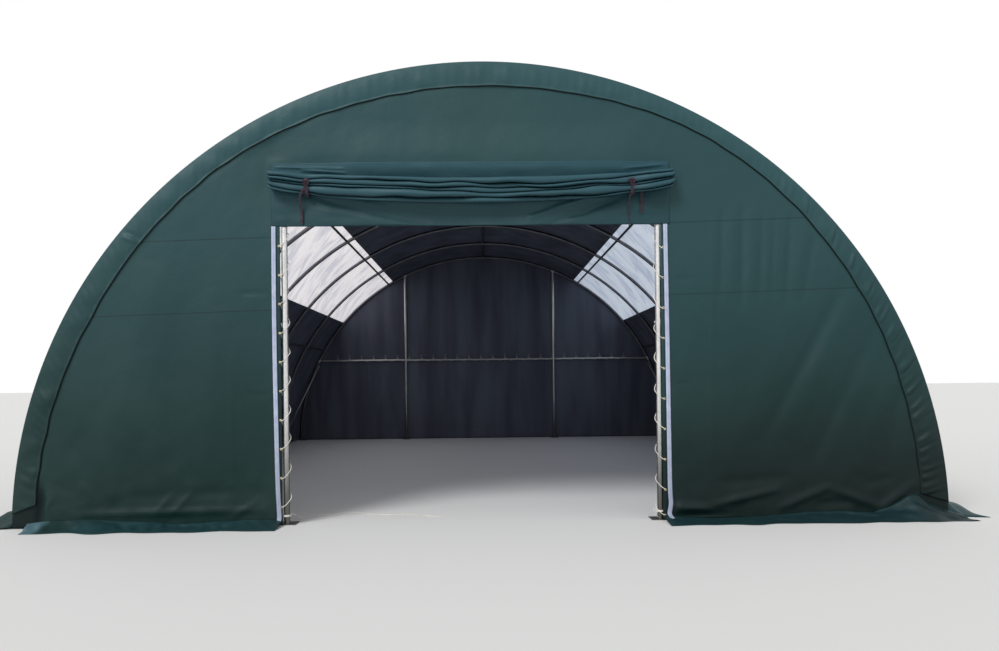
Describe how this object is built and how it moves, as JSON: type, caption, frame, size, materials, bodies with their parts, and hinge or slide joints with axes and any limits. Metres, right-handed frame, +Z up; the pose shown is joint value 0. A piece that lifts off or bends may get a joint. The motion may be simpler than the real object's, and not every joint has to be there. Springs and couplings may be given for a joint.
{
  "type": "fabric arch building",
  "caption": "Round-arched fabric shelter on a galvanised tube frame, with clear roof strips, a laced end wall and a wide doorway whose door is rolled up.",
  "frame": {"origin": "on the ground, under the middle of the building", "axes": "+X to the right of someone who faces the doorway, +Y from the doorway to the back wall, +Z up"},
  "size_m": [10, 12.9, 4.575],
  "materials": {
    "galvanised_tube": "galvanised, dull",
    "green_fabric": "coated, satin",
    "clear_fabric": "coated, translucent",
    "white_webbing": "woven",
    "dark_webbing": "woven",
    "rope": "braided"
  },
  "bodies": {
    "root": {"arch_1": "galvanised_tube", "arch_2": "galvanised_tube", "arch_3": "galvanised_tube", "arch_4": "galvanised_tube", "arch_5": "galvanised_tube", "arch_6": "galvanised_tube", "arch_7": "galvanised_tube", "ridge_purlin": "galvanised_tube", "upper_purlin_left": "galvanised_tube", "upper_purlin_right": "galvanised_tube", "side_purlin_left": "galvanised_tube", "side_purlin_right": "galvanised_tube", "brace_front_left": "galvanised_tube", "brace_front_right": "galvanised_tube", "brace_back_left": "galvanised_tube", "brace_back_right": "galvanised_tube", "door_post_left": "galvanised_tube", "door_post_right": "galvanised_tube", "back_post_left": "galvanised_tube", "back_post_right": "galvanised_tube", "front_rail_left": "galvanised_tube", "front_rail_right": "galvanised_tube", "back_rail": "galvanised_tube", "door_header": "galvanised_tube", "roof_cover": "green_fabric", "side_cover_left": "green_fabric", "side_cover_right": "green_fabric", "front_edge_band": "green_fabric", "back_edge_band": "green_fabric", "front_wall_left": "green_fabric", "front_wall_right": "green_fabric", "front_wall_header": "green_fabric", "back_wall": "green_fabric", "door_valance": "green_fabric", "rolled_door": "green_fabric", "skirt_left": "green_fabric", "skirt_right": "green_fabric", "skirt_front_left": "green_fabric", "skirt_front_right": "green_fabric", "skirt_back": "green_fabric", "skylight_left": "clear_fabric", "skylight_right": "clear_fabric", "door_strip_left": "white_webbing", "door_strip_right": "white_webbing", "door_straps": "dark_webbing", "lacing_left": "rope", "lacing_right": "rope", "rope_end": "rope"}
  },
  "joints": []
}
